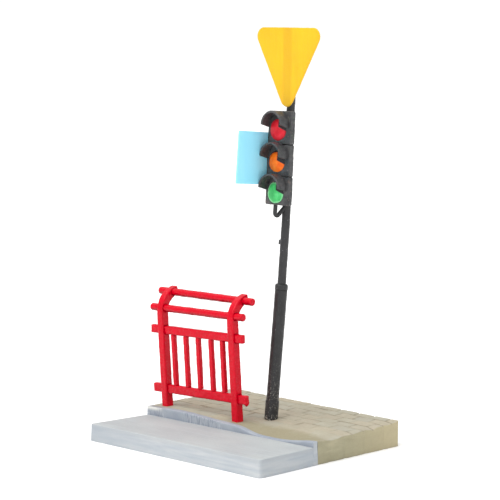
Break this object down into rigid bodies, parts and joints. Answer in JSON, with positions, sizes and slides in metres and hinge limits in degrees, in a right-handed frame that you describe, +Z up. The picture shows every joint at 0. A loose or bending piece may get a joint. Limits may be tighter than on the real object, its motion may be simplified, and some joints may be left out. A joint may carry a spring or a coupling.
{
  "type": "model signal mast",
  "caption": "Scale-model street corner: three-aspect traffic signal with hooded lenses, blank give-way sign and side plate on a stepped mast, beside a guard rail on a kerb and paving base.",
  "frame": {"origin": "centre of the base slab's underside, in the plane it stands on", "axes": "+X along the kerb towards the end with the dropped kerb, +Y from the road to the paving, +Z up; the signal and the sign face -Y"},
  "size_m": [0.0278, 0.0234, 0.0483],
  "materials": {
    "road_paint": "hand-brushed light grey paint on a cast base",
    "kerb_paint": "hand-brushed blue-grey paint",
    "paving_paint": "matt beige paint over cast setts",
    "mast_black": "satin black paint",
    "head_black": "satin black paint",
    "lens_red": "brushed red enamel",
    "lens_amber": "brushed orange enamel",
    "lens_green": "brushed green enamel",
    "sign_yellow": "satin yellow paint, blank",
    "plate_blue": "satin light blue paint, blank",
    "rail_red": "glossy red enamel"
  },
  "bodies": {
    "base": {"road_slab": "road_paint", "kerb": "kerb_paint", "paving_slab": "paving_paint"},
    "mast_foot": {"mast_sleeve": "mast_black", "mast_foot_collar": "mast_black", "sleeve_top_ring": "mast_black"},
    "mast_head": {"mast_pole": "mast_black", "red_housing": "head_black", "amber_housing": "head_black", "green_housing": "head_black", "red_visor": "head_black", "amber_visor": "head_black", "green_visor": "head_black", "red_lens": "lens_red", "amber_lens": "lens_amber", "green_lens": "lens_green", "upper_head_bracket": "mast_black", "lower_head_bracket": "mast_black", "cable_loop": "mast_black", "cable_clip": "mast_black", "sign_plate": "sign_yellow", "upper_sign_clip": "mast_black", "lower_sign_clip": "mast_black", "side_plate": "plate_blue", "upper_plate_arm": "mast_black", "lower_plate_arm": "mast_black"},
    "guard_rail": {"left_rail_post": "rail_red", "right_rail_post": "rail_red", "top_rail_bar": "rail_red", "second_rail_bar": "rail_red", "upper_flat_bar": "rail_red", "lower_flat_bar": "rail_red", "baluster_1": "rail_red", "baluster_2": "rail_red", "baluster_3": "rail_red", "baluster_4": "rail_red", "baluster_5": "rail_red"}
  },
  "joints": [
    {"name": "mast_lift", "type": "slide", "parent": "base", "child": "mast_foot", "axis": [0.0519, 0.0505, 0.9974], "range_m": [0, 0.0018]},
    {"name": "head_swivel", "type": "hinge", "parent": "mast_foot", "child": "mast_head", "pos_m": [0.00208, 0.00218, 0.00291], "axis": [0.0519, 0.0505, 0.9974], "range_deg": [-180, 180]},
    {"name": "rail_lift", "type": "slide", "parent": "base", "child": "guard_rail", "axis": [-0.0148, -0.061, 0.998], "range_m": [0, 0.0018]}
  ]
}
